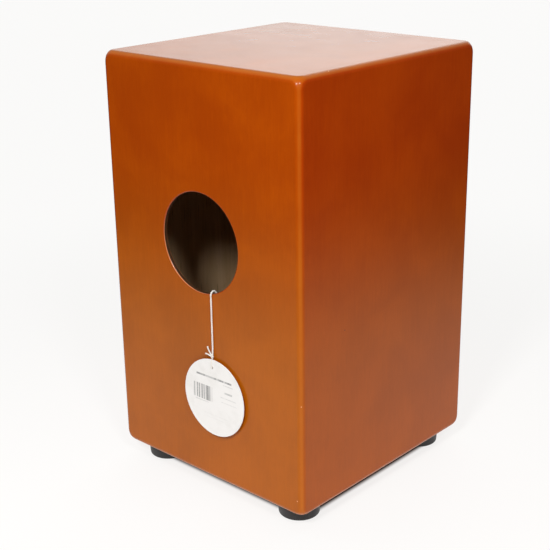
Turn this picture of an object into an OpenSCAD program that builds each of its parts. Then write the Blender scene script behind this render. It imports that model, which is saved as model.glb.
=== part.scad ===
// Cajon: a hollow wooden box drum. The player sits on top and strikes the thin
// front plate (the tapa); snare wires rattle behind it, and a round sound hole
// opens in the rear panel. A card tag hangs on a string over the hole's rim.
//
// Frame: +Z up, the floor at z = 0 under the feet, the origin under the middle
// of the box. The rear panel faces -Y and the tapa faces +Y. "Left" is -X.

/* [Box] */
// Overall width of the box, side to side
box_w = 290; // [260:1:340]
// Overall depth of the box, tapa to rear panel
box_d = 302; // [270:1:340]
// Height of the box without its feet
box_h = 480; // [430:1:520]
// Radius of all the outer edges
edge_r = 7; // [4:0.5:10]

/* [Panels] */
// Thickness of the sides, the seat and the base
wall_t = 12; // [11:0.5:15]
// Thickness of the tapa
tapa_t = 3; // [2.5:0.5:4]
// Thickness of the rear panel
rear_t = 5; // [4:0.5:8]
// Side of the square battens that join the panels
batten = 15; // [12:1:18]

/* [Sound hole] */
// Diameter of the sound hole
hole_d = 114; // [90:1:125]
// Height of its centre above the middle of the box
hole_rise = 45; // [30:1:70]

/* [Feet] */
// Diameter of a foot where it meets the base
foot_d = 50; // [40:1:56]
// Height of a foot
foot_h = 20; // [12:1:22]
// Distance from a foot's centre to the box's outer faces
foot_inset = 37; // [32:1:45]

/* [Snares] */
// Wires in each of the two sets
wires_per_set = 10; // [4:1:12]
// Length of a wire
wire_len = 140; // [100:5:145]
// Outer diameter of a coiled wire
wire_d = 1.6; // [1.2:0.2:2]

/* [Hang tag] */
// Diameter of the card
card_d = 92; // [60:1:100]
// Thickness of the card
card_t = 0.8; // [0.6:0.1:1]
// Angle at which the card's lower edge stands off the rear panel
card_lean = 2; // [0:0.5:4]
// Diameter of the string
string_d = 2; // [1.5:0.1:2.2]
// Diameter of the knot above the card
knot_d = 4; // [3.6:0.1:5]

/* [Hidden] */

$fn = 48;
LEFT = -1;
RIGHT = 1;
REAR = -1;
FRONT = 1;
// Room left round a screw in its hole
slack = 0.05;

// Levels and faces of the box
base_z = foot_h;
top_z = base_z + box_h;
mid_z = base_z + box_h / 2;
floor_z = base_z + wall_t;
ceiling_z = top_z - wall_t;
side_x = box_w / 2;
inner_x = side_x - wall_t;
rear_y = -box_d / 2;
front_y = box_d / 2;
inner_rear_y = rear_y + rear_t;
inner_front_y = front_y - tapa_t;
hole_z = mid_z + hole_rise;

// Countersunk screws of the tapa
screw_head_r = 3.5;
screw_r = 1.75;
screw_len = 16;
recess_w = 0.9;
recess_len = 4;
recess_depth = 0.9;
// Four screws a side, three along the top and three along the bottom
side_screws = 4;
side_screw_end = 0.14 * box_h;
side_screw_step = (box_h - 2 * side_screw_end) / (side_screws - 1);
side_screw_z = [for (i = [0:side_screws - 1]) base_z + side_screw_end + side_screw_step * i];
row_screw_x = [-box_w / 4, 0, box_w / 4];
batten_mid_x = inner_x - batten / 2;
batten_mid_low = floor_z + batten / 2;
batten_mid_high = ceiling_z - batten / 2;
tapa_screw_xz = concat(
    [for (side = [LEFT, RIGHT], z = side_screw_z) [side * batten_mid_x, z]],
    [for (x = row_screw_x, z = [batten_mid_low, batten_mid_high]) [x, z]]
);

// Crossbar behind the tapa, and the blocks that hold its ends
bar = 20;
block_w = 20;
block_h = 40;
bar_rise = 45;
bar_z = mid_z + bar_rise;
bar_front_y = inner_front_y - batten;

// Snare sets
plate_t = 0.8;
plate_h = 16;
wire_pitch = 5;
plate_end = 5;
set_w = wires_per_set * wire_pitch + 2 * plate_end;
set_x = box_w / 5;
snare_screw_r = 1.5;
snare_screw_len = 12;
snare_head_r = 2.8;
snare_head_top_r = 2;
snare_head_h = 1.8;
snare_screw_in = 3;
snare_screw_x = set_w / 2 - snare_screw_in;
// Length of each wire that lies on its plate
wire_foot = 6;
wire_z = bar_z + plate_h / 2 - wire_foot;
// The wires lean forward until their tips all but touch the tapa
tip_gap = 0.5;
wire_y = bar_front_y + plate_t + wire_d / 2 + slack;
wire_lean = asin((inner_front_y - tip_gap - wire_d / 2 - wire_y) / wire_len);

// Feet, their washers and screws
foot_taper = 1.5;
foot_round = 2.5;
foot_recess_r = 7.5;
foot_recess_h = 10;
foot_x = side_x - foot_inset;
foot_y = front_y - foot_inset;
foot_screw_r = 2;
// Length of the screw inside the base
foot_screw_bite = 10;
foot_head_r = 4.2;
foot_head_low_r = 3.2;
foot_head_h = 2.6;
washer_r = 6.5;
washer_t = 1;

// Tag: the string is stapled inside, comes over the rim of the sound hole at
// string_x and hangs down the rear panel; below the knot a thin loop holds the card
string_x = 16;
string_gap = 0.5;
drop_y = rear_y - string_gap - string_d / 2;
inside_y = inner_rear_y + string_gap + string_d / 2;
rim_z = hole_z - sqrt(pow(hole_d / 2, 2) - pow(string_x, 2));
arch_y = (drop_y + inside_y) / 2;
arch_r = (inside_y - drop_y) / 2;
// The arch's centre lies this far under the rim, so that it clears the rim's edges
arch_drop = 1.2;
arch_z = rim_z - arch_drop;
inner_drop = 44;
staple_z = arch_z - inner_drop;
staple_wire = 0.9;
staple_half = string_d / 2 + 1.6;
staple_play = 0.1;
// The swinging length starts this far under the arch, where the string turns
hinge_gap = 1.2;
outer_drop = 72.5;
knot_z = arch_z - outer_drop;
knot_y = rear_y - string_gap - knot_d / 2;
string_sides = 8;

// The loop starts just under the knot, round whose centre it turns with the card
loop_d = 1.2;
loop_r = 1.2;
loop_top = knot_z - knot_d / 2 - 0.3;
card_top_z = loop_top - 0.6;
card_hole_r = 1.5;
card_hole_in = 10;
card_y = knot_y;
// The loop's lowest turn passes through the card's hole, where the card has leant out a little
loop_y = card_y - card_hole_in * sin(card_lean);
loop_turn_z = card_top_z - card_hole_in + card_hole_r;
// The card hangs a little to one side of its hole
card_shift = 2.5;

// Route of the string above its hinge: up from the staple and over the rim in an arch
function arch_point(angle) = [string_x, arch_y + arch_r * cos(angle), arch_z + arch_r * sin(angle)];
inner_route = concat(
    [
        [string_x, inside_y, staple_z - 6],
        [string_x, inside_y, staple_z],
        [string_x, inside_y, staple_z + 14],
        [string_x, inside_y, staple_z + 30]
    ],
    [for (angle = [0:20:180]) arch_point(angle)],
    [[string_x, drop_y, arch_z - 0.1]]
);
// The free length hangs straight, from the hinge to the knot
drop_route = [
    [string_x, drop_y, arch_z - 0.1 - hinge_gap],
    [string_x, drop_y, arch_z - 20],
    [string_x, drop_y, arch_z - 40],
    [string_x, drop_y, arch_z - 62],
    [string_x, knot_y + 0.3, knot_z + knot_d / 2 - 0.4]
];
// Two cut ends stand up beside the string, as [x, y, z] from the knot's centre
tail_routes = [
    [[-1.2, 0, 1], [-3, -0.3, 4], [-5, -0.7, 7.5], [-6.6, -1, 11], [-7.5, -1.2, 14.5]],
    [[-1.2, -0.4, 0.5], [-4.5, -1, 1.6], [-8, -1.4, 2.2], [-11, -1.8, 2.4]]
];
// The loop goes down in front of the card, turns through its hole and comes up behind it
function turn_point(angle) =
    [string_x, loop_y - loop_r * cos(angle), loop_turn_z - loop_r * sin(angle)];
loop_route = concat(
    [[string_x, card_y - loop_r, loop_top], [string_x, loop_y - loop_r, loop_turn_z + 4]],
    [for (angle = [0:30:180]) turn_point(angle)],
    [[string_x, loop_y + loop_r, loop_turn_z + 4], [string_x, card_y + loop_r, loop_top]]
);

// ---- helpers ----

// Rectangle with round corners, centred, from squares and circles
module rounded_rect(w, h, r) {
    square([w - 2 * r, h], center = true);
    square([w, h - 2 * r], center = true);
    for (x = [-1, 1], y = [-1, 1])
        translate([x * (w / 2 - r), y * (h / 2 - r)]) circle(r);
}

// The whole box's outer shape, as one solid with all its edges rounded
module envelope() {
    intersection() {
        translate([0, 0, base_z])
            linear_extrude(box_h) rounded_rect(box_w, box_d, edge_r);
        translate([0, front_y, mid_z]) rotate([90, 0, 0])
            linear_extrude(box_d) rounded_rect(box_w, box_h, edge_r);
        translate([-side_x, 0, mid_z]) rotate([90, 0, 90])
            linear_extrude(box_w) rounded_rect(box_d, box_h, edge_r);
    }
}

// The part of the box between two corners
module panel(low, high) {
    intersection() {
        envelope();
        translate(low) cube(high - low);
    }
}

module block(low, high) {
    translate(low) cube(high - low);
}

// A cylinder along +Y that starts at a point
module along_y(at, r, h, r2 = -1) {
    translate(at) rotate([-90, 0, 0]) cylinder(h = h, r1 = r, r2 = r2 < 0 ? r : r2);
}

// Ring of points round a place on a path that runs mostly in the plane x = constant
function unit(v) = v / norm(v);
function heading(path, i) =
    unit(path[min(i + 1, len(path) - 1)] - path[max(i - 1, 0)]);
function ring(path, i, r, across) =
    let (along = heading(path, i), side = unit(cross(along, across)), top = cross(side, along))
    [for (k = [0:string_sides - 1])
        let (a = 360 * k / string_sides) path[i] + r * (cos(a) * side + sin(a) * top)];

// A tube swept along a path; across is a direction that the path never takes
module tube(path, d, across = [1, 0, 0]) {
    n = len(path);
    s = string_sides;
    points = [for (i = [0:n - 1]) each ring(path, i, d / 2, across)];
    start = [for (k = [0:s - 1]) k];
    end = [for (k = [0:s - 1]) (n - 1) * s + s - 1 - k];
    walls = [for (i = [0:n - 2], k = [0:s - 1])
        [i * s + k, (i + 1) * s + k, (i + 1) * s + (k + 1) % s, i * s + (k + 1) % s]];
    polyhedron(points, concat([start], walls, [end]));
}

// ---- shell ----

module side_panel(side) {
    color("#b05a14")
        panel(
            [side > 0 ? inner_x : -side_x, inner_rear_y, floor_z],
            [side > 0 ? side_x : -inner_x, inner_front_y, ceiling_z]
        );
}

module top_panel() {
    color("#b85f1a")
        panel([-side_x, inner_rear_y, ceiling_z], [side_x, inner_front_y, top_z]);
}

module bottom_panel() {
    color("#a8550f") difference() {
        panel([-side_x, inner_rear_y, base_z], [side_x, inner_front_y, floor_z]);
        at_feet() translate([0, 0, foot_h - slack])
            cylinder(h = foot_screw_bite + 2 * slack, r = foot_screw_r + slack);
    }
}

module rear_panel() {
    color("#bd5f13") difference() {
        panel([-side_x, rear_y, base_z], [side_x, inner_rear_y, top_z]);
        along_y([0, rear_y - 1, hole_z], hole_d / 2, rear_t + 2);
    }
}

module tapa() {
    color("#b4600f") difference() {
        panel([-side_x, inner_front_y, base_z], [side_x, front_y, top_z]);
        for (p = tapa_screw_xz) tapa_screw_solid(p, slack);
    }
}

// Countersunk screw: its head is flush with the tapa and its point is inside
module tapa_screw_solid(p, extra = 0) {
    cone_h = screw_head_r - screw_r;
    along_y([p[0], front_y - screw_len, p[1]], screw_r + extra, screw_len);
    along_y([p[0], front_y - cone_h, p[1]], screw_r + extra, cone_h, screw_head_r + extra);
}

module tapa_screws() {
    color("silver") for (p = tapa_screw_xz) difference() {
        tapa_screw_solid(p);
        for (turn = [0, 90])
            translate([p[0], front_y, p[1]]) rotate([0, turn, 0])
                cube([recess_len, 2 * recess_depth, recess_w], center = true);
    }
}

// ---- battens ----

module upright_batten(side, face) {
    x = side > 0 ? inner_x - batten : -inner_x;
    y = face > 0 ? inner_front_y - batten : inner_rear_y;
    color("#d2a670") difference() {
        block([x, y, floor_z], [x + batten, y + batten, ceiling_z]);
        if (face > 0) for (p = tapa_screw_xz) tapa_screw_solid(p, slack);
    }
}

module level_batten(is_top, face) {
    x = inner_x - batten;
    y = face > 0 ? inner_front_y - batten : inner_rear_y;
    z = is_top ? ceiling_z - batten : floor_z;
    color("#cfa26b") difference() {
        block([-x, y, z], [x, y + batten, z + batten]);
        if (face > 0) for (p = tapa_screw_xz) tapa_screw_solid(p, slack);
    }
}

// ---- snares ----

module crossbar() {
    x = inner_x - block_w;
    color("#d8b07c") difference() {
        block([-x, bar_front_y - bar, bar_z - bar / 2], [x, bar_front_y, bar_z + bar / 2]);
        for (side = [LEFT, RIGHT]) snare_screw_pair(side, slack);
    }
}

module crossbar_block(side) {
    x = side > 0 ? inner_x - block_w : -inner_x;
    color("#c99a62")
        block(
            [x, bar_front_y - bar, bar_z - block_h / 2],
            [x + block_w, bar_front_y, bar_z + block_h / 2]
        );
}

module snare_screw_pair(side, extra = 0) {
    for (dx = [-snare_screw_x, snare_screw_x])
        along_y(
            [side * set_x + dx, bar_front_y + plate_t - snare_screw_len, bar_z],
            snare_screw_r + extra, snare_screw_len
        );
}

module snare_plate(side) {
    color("gainsboro") difference() {
        block(
            [side * set_x - set_w / 2, bar_front_y, bar_z - plate_h / 2],
            [side * set_x + set_w / 2, bar_front_y + plate_t, bar_z + plate_h / 2]
        );
        snare_screw_pair(side, slack);
    }
}

module snare_screws() {
    color("silver") for (side = [LEFT, RIGHT]) {
        snare_screw_pair(side);
        for (dx = [-snare_screw_x, snare_screw_x])
            along_y(
                [side * set_x + dx, bar_front_y + plate_t, bar_z],
                snare_head_r, snare_head_h, snare_head_top_r
            );
    }
}

module snare_wires(side) {
    first = -(wires_per_set - 1) * wire_pitch / 2;
    color("lightsteelblue") for (i = [0:wires_per_set - 1])
        translate([side * set_x + first + i * wire_pitch, wire_y, wire_z])
            rotate([-wire_lean, 0, 0]) cylinder(h = wire_len, d = wire_d, $fn = 16);
}

// ---- feet ----

module at_foot(side, face) {
    translate([side * foot_x, face * foot_y, 0]) children();
}

module at_feet() {
    for (side = [LEFT, RIGHT], face = [REAR, FRONT]) at_foot(side, face) children();
}

// Half of a foot's section: a taper with a round lower edge, and a stepped hole
module foot_section() {
    outer = foot_d / 2;
    lower = outer - foot_taper;
    difference() {
        union() {
            polygon([[0, foot_round], [lower, foot_round], [outer, foot_h], [0, foot_h]]);
            square([lower - foot_round, foot_h / 2]);
            intersection() {
                translate([lower - foot_round, foot_round]) circle(foot_round);
                square([outer, foot_round]);
            }
        }
        translate([-1, -1]) square([foot_recess_r + 1, foot_recess_h + 1]);
        translate([-1, 0]) square([foot_screw_r + slack + 1, foot_h + 1]);
    }
}

module foot(side, face) {
    color("#35302f") at_foot(side, face) rotate_extrude() foot_section();
}

module foot_washers() {
    color("silver") at_feet() translate([0, 0, foot_recess_h - washer_t]) difference() {
        cylinder(h = washer_t, r = washer_r);
        translate([0, 0, -1]) cylinder(h = washer_t + 2, r = foot_screw_r + slack);
    }
}

module foot_screws() {
    head_z = foot_recess_h - washer_t - foot_head_h;
    shank_z = head_z + foot_head_h / 2;
    color("darkgray") at_feet() {
        translate([0, 0, head_z]) cylinder(h = foot_head_h, r1 = foot_head_low_r, r2 = foot_head_r);
        translate([0, 0, shank_z])
            cylinder(h = foot_h + foot_screw_bite - shank_z, r = foot_screw_r);
    }
}

// ---- hang tag ----

// A wire staple over the inner end of the string
module tag_staple() {
    crown_y = inside_y + string_d / 2 + staple_play;
    color("silver") {
        translate([string_x - staple_half, crown_y, staple_z - staple_wire / 2])
            cube([2 * staple_half, staple_wire, staple_wire]);
        for (x = [-staple_half, staple_half - staple_wire])
            translate([string_x + x, inner_rear_y, staple_z - staple_wire / 2])
                cube([staple_wire, crown_y + staple_wire / 2 - inner_rear_y, staple_wire]);
    }
}

module tag_string_inner() {
    color("#f4efe6") tube(inner_route, string_d);
}

module tag_string() {
    color("#f4efe6") tube(drop_route, string_d);
}

module tag_knot() {
    color("#f1ebe0") translate([string_x, knot_y, knot_z]) sphere(d = knot_d);
}

module tag_string_tails() {
    color("#f4efe6") for (route = tail_routes)
        tube([for (p = route) p + [string_x, knot_y, knot_z]], loop_d, [0, 1, 0]);
}

module tag_loop() {
    color("#f4efe6") tube(loop_route, loop_d);
}

// A round card with one punched hole, which leans out from the rear panel
module tag_card() {
    color("#f8f7f5")
        translate([string_x, card_y, card_top_z]) rotate([-card_lean, 0, 0])
            rotate([90, 0, 0]) translate([0, 0, -card_t / 2]) difference() {
                translate([card_shift, -card_d / 2, 0]) cylinder(h = card_t, d = card_d, $fn = 96);
                translate([0, -card_hole_in, -1]) cylinder(h = card_t + 2, r = card_hole_r);
            }
}

side_panel(LEFT);  // left_side_panel
side_panel(RIGHT);  // right_side_panel
top_panel();
bottom_panel();
rear_panel();
tapa();
tapa_screws();
upright_batten(LEFT, FRONT);  // left_front_batten
upright_batten(RIGHT, FRONT);  // right_front_batten
level_batten(true, FRONT);  // top_front_batten
level_batten(false, FRONT);  // bottom_front_batten
upright_batten(LEFT, REAR);  // left_rear_batten
upright_batten(RIGHT, REAR);  // right_rear_batten
level_batten(true, REAR);  // top_rear_batten
level_batten(false, REAR);  // bottom_rear_batten
crossbar();
crossbar_block(LEFT);  // left_crossbar_block
crossbar_block(RIGHT);  // right_crossbar_block
snare_plate(LEFT);  // left_snare_plate
snare_plate(RIGHT);  // right_snare_plate
snare_wires(LEFT);  // left_snare_wires
snare_wires(RIGHT);  // right_snare_wires
snare_screws();
foot(LEFT, REAR);  // rear_left_foot
foot(RIGHT, REAR);  // rear_right_foot
foot(LEFT, FRONT);  // front_left_foot
foot(RIGHT, FRONT);  // front_right_foot
foot_washers();
foot_screws();
tag_staple();
tag_string_inner();
tag_string();
tag_knot();
tag_string_tails();
tag_loop();
tag_card();
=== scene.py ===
import math

import bmesh
import bpy
from mathutils import Matrix, Vector


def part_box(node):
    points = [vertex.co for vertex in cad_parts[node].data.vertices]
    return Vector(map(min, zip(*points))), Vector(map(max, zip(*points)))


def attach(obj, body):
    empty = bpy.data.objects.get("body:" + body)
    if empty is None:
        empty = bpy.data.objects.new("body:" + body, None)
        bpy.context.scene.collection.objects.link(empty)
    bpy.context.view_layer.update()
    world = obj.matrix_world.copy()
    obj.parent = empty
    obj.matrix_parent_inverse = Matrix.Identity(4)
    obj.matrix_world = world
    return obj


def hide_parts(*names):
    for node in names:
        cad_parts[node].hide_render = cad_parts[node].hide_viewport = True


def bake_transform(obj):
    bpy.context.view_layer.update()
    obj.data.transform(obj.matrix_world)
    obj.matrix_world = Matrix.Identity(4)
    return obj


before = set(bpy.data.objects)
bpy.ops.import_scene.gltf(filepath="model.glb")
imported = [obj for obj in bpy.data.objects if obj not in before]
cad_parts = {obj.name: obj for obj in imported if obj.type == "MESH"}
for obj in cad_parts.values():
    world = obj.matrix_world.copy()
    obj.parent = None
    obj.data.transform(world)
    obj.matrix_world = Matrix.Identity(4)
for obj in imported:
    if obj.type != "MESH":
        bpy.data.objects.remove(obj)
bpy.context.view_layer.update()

# ---- sizes, from the frame, in metres ----

MM = 0.001
X, Y, Z = Vector((1, 0, 0)), Vector((0, 1, 0)), Vector((0, 0, 1))
UP = Z
# Closer than this counts as the same place
SAME = 1e-6

REAR_LOW, REAR_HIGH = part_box("rear_panel")
TOP_LOW, TOP_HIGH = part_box("top_panel")
BASE_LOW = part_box("bottom_panel")[0]
TAPA_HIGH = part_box("tapa")[1]
CARD_LOW, CARD_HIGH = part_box("tag_card")
CARD_MIDDLE = (CARD_LOW + CARD_HIGH) / 2
BOX_LOW = Vector((TOP_LOW.x, REAR_LOW.y, BASE_LOW.z))
BOX_HIGH = Vector((TOP_HIGH.x, TAPA_HIGH.y, TOP_HIGH.z))
BOX_MIDDLE = (BOX_LOW + BOX_HIGH) / 2
EDGE_R = 7 * MM
EDGE_STEPS = 5
# Corners are cut back to this sum of the distances from their three faces, and blended in
CORNER_CUT = 11 * MM
CORNER_BLEND = 4 * MM
CORNER_LINES = (3 * MM, 6 * MM, 10 * MM, 15 * MM, 21 * MM)
HOLE_R = 57 * MM
HOLE_RIM = 1.1 * MM
HOLE_RISE = 45 * MM
HOLE_CENTRE = Vector((0, REAR_LOW.y, BOX_MIDDLE.z + HOLE_RISE))

# ---- meshes ----


def to_object(bm, name, materials):
    """Turns a bmesh into a smooth object of the scene."""
    mesh = bpy.data.meshes.new(name)
    bmesh.ops.recalc_face_normals(bm, faces=bm.faces)
    bm.to_mesh(mesh)
    bm.free()
    for material in materials:
        mesh.materials.append(material)
    for polygon in mesh.polygons:
        polygon.use_smooth = True
    made = bpy.data.objects.new(name, mesh)
    bpy.context.scene.collection.objects.link(made)
    return made


def bake_modifiers(piece):
    """Applies a piece's modifiers to its mesh."""
    evaluated = piece.evaluated_get(bpy.context.evaluated_depsgraph_get())
    mesh = bpy.data.meshes.new_from_object(evaluated)
    piece.modifiers.clear()
    piece.data = mesh
    return piece


def set_normals(piece, normal_at):
    """Gives each corner of each face the normal that normal_at(point, face_normal) says."""
    mesh = piece.data
    normals = [None] * len(mesh.loops)
    for polygon in mesh.polygons:
        for i in polygon.loop_indices:
            point = mesh.vertices[mesh.loops[i].vertex_index].co
            normals[i] = normal_at(point, polygon.normal)
    mesh.normals_split_custom_set(normals)
    return piece


def even_shading(piece, sharp_angle=50):
    """Keeps flat faces flat between their round edges, and sharp turns sharp."""
    bm = bmesh.new()
    bm.from_mesh(piece.data)
    for edge in bm.edges:
        edge.smooth = len(edge.link_faces) < 2 or edge.calc_face_angle() < math.radians(sharp_angle)
    bm.to_mesh(piece.data)
    bm.free()
    even = piece.modifiers.new("even", "WEIGHTED_NORMAL")
    even.keep_sharp = True
    return bake_modifiers(piece)


def place_piece(piece, nodes, body="box"):
    """Hides the CAD nodes that a piece stands for, and sets the piece on the body it rides on."""
    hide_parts(*nodes)
    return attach(piece, body)


def clamp(value, low, high):
    return max(low, min(high, value))


def bridge(bm, rings, closed):
    """Joins each ring of vertices to the next with faces. A ring of one vertex is a pole."""
    pairs = list(zip(rings, rings[1:])) + ([(rings[-1], rings[0])] if closed else [])
    for low, high in pairs:
        steps = max(len(low), len(high))
        for k in range(steps if steps > 1 else 0):
            n = (k + 1) % steps
            corners = [low[k % len(low)], low[n % len(low)], high[n % len(high)], high[k % len(high)]]
            bm.faces.new(list(dict.fromkeys(corners)))
    return bm


def circle(radius, height, steps):
    """Points of a circle about the Z axis, or its one centre point where the radius is zero."""
    if radius == 0:
        return [Vector((0, 0, height))]
    angles = [2 * math.pi * k / steps for k in range(steps)]
    return [Vector((radius * math.cos(a), radius * math.sin(a), height)) for a in angles]


def lathe(bm, profile, matrix=Matrix(), steps=64):
    """Turns a closed outline of (radius, height) points about the Z axis of a matrix."""
    rings = [[bm.verts.new(matrix @ p) for p in circle(r, h, steps)] for r, h in profile]
    return bridge(bm, rings, closed=True)


def arc(centre, radius, start, end, steps):
    """Points of a round stretch of an outline; the angles are in degrees."""
    points = []
    for i in range(steps + 1):
        a = math.radians(start + (end - start) * i / steps)
        points.append((centre[0] + radius * math.cos(a), centre[1] + radius * math.sin(a)))
    return points


def smooth_path(points, step):
    """Points a step apart on a smooth curve through some points."""
    points = [Vector(p) for p in points]
    padded = [2 * points[0] - points[1], *points, 2 * points[-1] - points[-2]]
    path = []
    for a, b, c, d in zip(padded, padded[1:], padded[2:], padded[3:]):
        count = max(1, round((c - b).length / step))
        for i in range(count):
            t = i / count
            path.append(
                0.5 * (2 * b + (c - a) * t + (2 * a - 5 * b + 4 * c - d) * t * t
                       + (3 * b - a - 3 * c + d) * t * t * t)
            )
    return path + [points[-1]]


def path_length(path):
    return sum((b - a).length for a, b in zip(path, path[1:]))


def sweep(bm, path, radius_at, sides=12, closed=False):
    """A tube along a path. radius_at(distance along it, angle round it) is its radius there."""
    count = len(path)
    tangents = []
    for i in range(count):
        after = path[(i + 1) % count] if closed else path[min(i + 1, count - 1)]
        before = path[i - 1] if closed or i else path[0]
        tangents.append((after - before).normalized())
    side = tangents[0].orthogonal().normalized()
    rings, along = [], 0
    for i, (point, tangent) in enumerate(zip(path, tangents)):
        if i:
            along += (point - path[i - 1]).length
            side = tangents[i - 1].rotation_difference(tangent) @ side
        side = (side - tangent * side.dot(tangent)).normalized()
        top = tangent.cross(side)
        ring = []
        for k in range(sides):
            a = 2 * math.pi * k / sides
            ring.append(bm.verts.new(point + radius_at(along, a) * (side * math.cos(a) + top * math.sin(a))))
        rings.append(ring)
    if not closed:
        bm.faces.new(rings[0][::-1])
        bm.faces.new(rings[-1])
    return bridge(bm, rings, closed)


def round_block(bm, low, high, radius, steps):
    """A block with round edges."""
    place = Matrix.Translation((low + high) / 2) @ Matrix.Diagonal((*(high - low), 1))
    made = bmesh.ops.create_cube(bm, size=1, matrix=place)
    edges = list({edge for vertex in made["verts"] for edge in vertex.link_edges})
    bmesh.ops.bevel(
        bm, geom=edges, offset=radius, offset_type="OFFSET", segments=steps, profile=0.5, affect="EDGES"
    )
    return bm


def cut_away(piece, bm, material=None):
    """Takes a closed shape out of a piece."""
    cutter = to_object(bm, "cutter", [material] if material else [])
    boolean = piece.modifiers.new("cut", "BOOLEAN")
    boolean.object = cutter
    boolean.operation = "DIFFERENCE"
    boolean.solver = "EXACT"
    boolean.use_self = True
    boolean.material_mode = "TRANSFER" if material else "INDEX"
    bake_modifiers(piece)
    bpy.data.objects.remove(cutter)
    return piece


def aimed(place, axis):
    """A matrix at a place whose Z points along an axis."""
    return Matrix.Translation(place) @ axis.to_track_quat("Z", "Y").to_matrix().to_4x4()


def solids(node):
    """The middles of a CAD node's separate solids, sorted."""
    bm = bmesh.new()
    bm.from_mesh(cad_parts[node].data)
    bmesh.ops.remove_doubles(bm, verts=bm.verts, dist=SAME)
    left = set(bm.verts)
    middles = []
    while left:
        island, edge = set(), [left.pop()]
        while edge:
            vertex = edge.pop()
            island.add(vertex)
            near = {e.other_vert(vertex) for e in vertex.link_edges} & left
            left -= near
            edge += near
        low = Vector([min(v.co[i] for v in island) for i in range(3)])
        high = Vector([max(v.co[i] for v in island) for i in range(3)])
        middles.append((low + high) / 2)
    bm.free()
    return sorted(middles, key=lambda m: (round(m.x, 5), round(m.y, 5), round(m.z, 5)))


# ---- materials ----


class Nodes:
    """A node tree, and short calls that add nodes; their inputs are values or other nodes' outputs."""

    def __init__(self, tree):
        self.tree = tree

    def node(self, kind, inputs=None, **settings):
        made = self.tree.nodes.new(kind)
        for name, value in settings.items():
            setattr(made, name, value)
        for key, value in (inputs or {}).items():
            if isinstance(value, bpy.types.NodeSocket):
                self.tree.links.new(value, made.inputs[key])
            else:
                made.inputs[key].default_value = value
        return made

    def math(self, operation, *values):
        return self.node("ShaderNodeMath", dict(enumerate(values)), operation=operation).outputs[0]

    def vector(self, operation, *values):
        """The result of vector maths, whatever comes out of it: a vector or a number."""
        outputs = self.node("ShaderNodeVectorMath", dict(enumerate(values)), operation=operation).outputs
        return outputs["Value" if operation in ("DISTANCE", "LENGTH", "DOT_PRODUCT") else "Vector"]

    def scaled(self, vector, scale):
        inputs = {0: vector, "Scale": scale}
        return self.node("ShaderNodeVectorMath", inputs, operation="SCALE").outputs["Vector"]

    def axes(self, vector):
        return self.node("ShaderNodeSeparateXYZ", {0: vector}).outputs

    def noise(self, vector, scale, detail=3, roughness=0.5, distortion=0):
        values = {
            "Vector": vector, "Scale": scale, "Detail": detail,
            "Roughness": roughness, "Distortion": distortion,
        }
        return self.node("ShaderNodeTexNoise", values).outputs["Fac"]

    def fade(self, value, low, high, to_low=0, to_high=1):
        """Maps low..high to to_low..to_high, smoothly, and keeps it there outside."""
        values = {"Value": value, "From Min": low, "From Max": high, "To Min": to_low, "To Max": to_high}
        return self.node("ShaderNodeMapRange", values, interpolation_type="SMOOTHSTEP").outputs["Result"]

    def mix(self, share, a, b, blend="MIX"):
        made = self.node("ShaderNodeMix", data_type="RGBA", blend_type=blend)
        for key, value in ((0, share), (6, a), (7, b)):
            if isinstance(value, bpy.types.NodeSocket):
                self.tree.links.new(value, made.inputs[key])
            else:
                made.inputs[key].default_value = value if key == 0 else (*value, 1)
        return made.outputs[2]


class Look(Nodes):
    """A material with one shader, set by its sockets' names."""

    def __init__(self, name, **shader):
        self.material = bpy.data.materials.new(name)
        self.material.use_nodes = True
        super().__init__(self.material.node_tree)
        self.shader = self.tree.nodes["Principled BSDF"]
        for socket, value in shader.items():
            self.shader.inputs[socket.replace("_", " ")].default_value = value
        coordinates = self.node("ShaderNodeTexCoord").outputs
        self.place = coordinates["Object"]
        self.facing = coordinates["Normal"]

    def stretched(self, x, y, z):
        inputs = {"Vector": self.place, "Scale": (x, y, z)}
        return self.node("ShaderNodeMapping", inputs).outputs["Vector"]

    def colour(self, socket):
        self.tree.links.new(socket, self.shader.inputs["Base Color"])

    def roughness(self, socket):
        self.tree.links.new(socket, self.shader.inputs["Roughness"])

    def bump(self, height, strength, distance):
        values = {"Height": height, "Strength": strength, "Distance": distance}
        made = self.node("ShaderNodeBump", values)
        self.tree.links.new(made.outputs["Normal"], self.shader.inputs["Normal"])


STAIN_PALE = (0.45, 0.069, 0.0005)
STAIN_DEEP = (0.37, 0.049, 0.0003)
# Painted shade: a redder copy of the stain for the side faces, which get less light
PAINTED_SHADE_SIDE_PALE = (0.46, 0.052, 0.0005)
PAINTED_SHADE_SIDE_DEEP = (0.385, 0.037, 0.0003)
# Painted light: the stain is made a little yellower low down, by this much, between two heights, for the
# floor's light there, and on the seat, for the light from above
PAINTED_LIGHT_LOW_DOWN = (0.01, 0.041, 0.002)
LOW_DOWN_HEIGHTS = (0.17, 0.42)
PAINTED_LIGHT_ON_TOP = (0, 0.045, 0)
# Round edges are paler: partly rubbed stain, partly a painted highlight
RUBBED_AND_HIGHLIT_EDGE = (0.5, 0.125, 0.008)
# Chips down to the bare wood, and bruises: where in mm, how wide, and their colour
CHIPS = [
    ([(4, -150, 498), (141, -103, 499), (138, -151, 40), (143, -149, 154)], 0.7 * MM, (0.9, 0.5, 0.25)),
    ([(43, -150, 21.5), (145, -80, 220)], 0.8 * MM, (0.07, 0.03, 0.015)),
]


def stain_tone(look, cloud, grain, grain_share):
    """How pale the stain is, from 0 to 1: soft mottling, slow clouds and faint grain."""
    mottle = look.noise(look.place, 14, detail=4, roughness=0.55, distortion=0.4)
    tone = look.math("ADD", look.math("MULTIPLY", mottle, 0.45), look.math("MULTIPLY", cloud, 0.35))
    tone = look.math("ADD", tone, look.math("MULTIPLY", grain, grain_share))
    middle = 0.4 + grain_share / 2
    return look.fade(tone, middle - 0.14, middle + 0.14)


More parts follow.
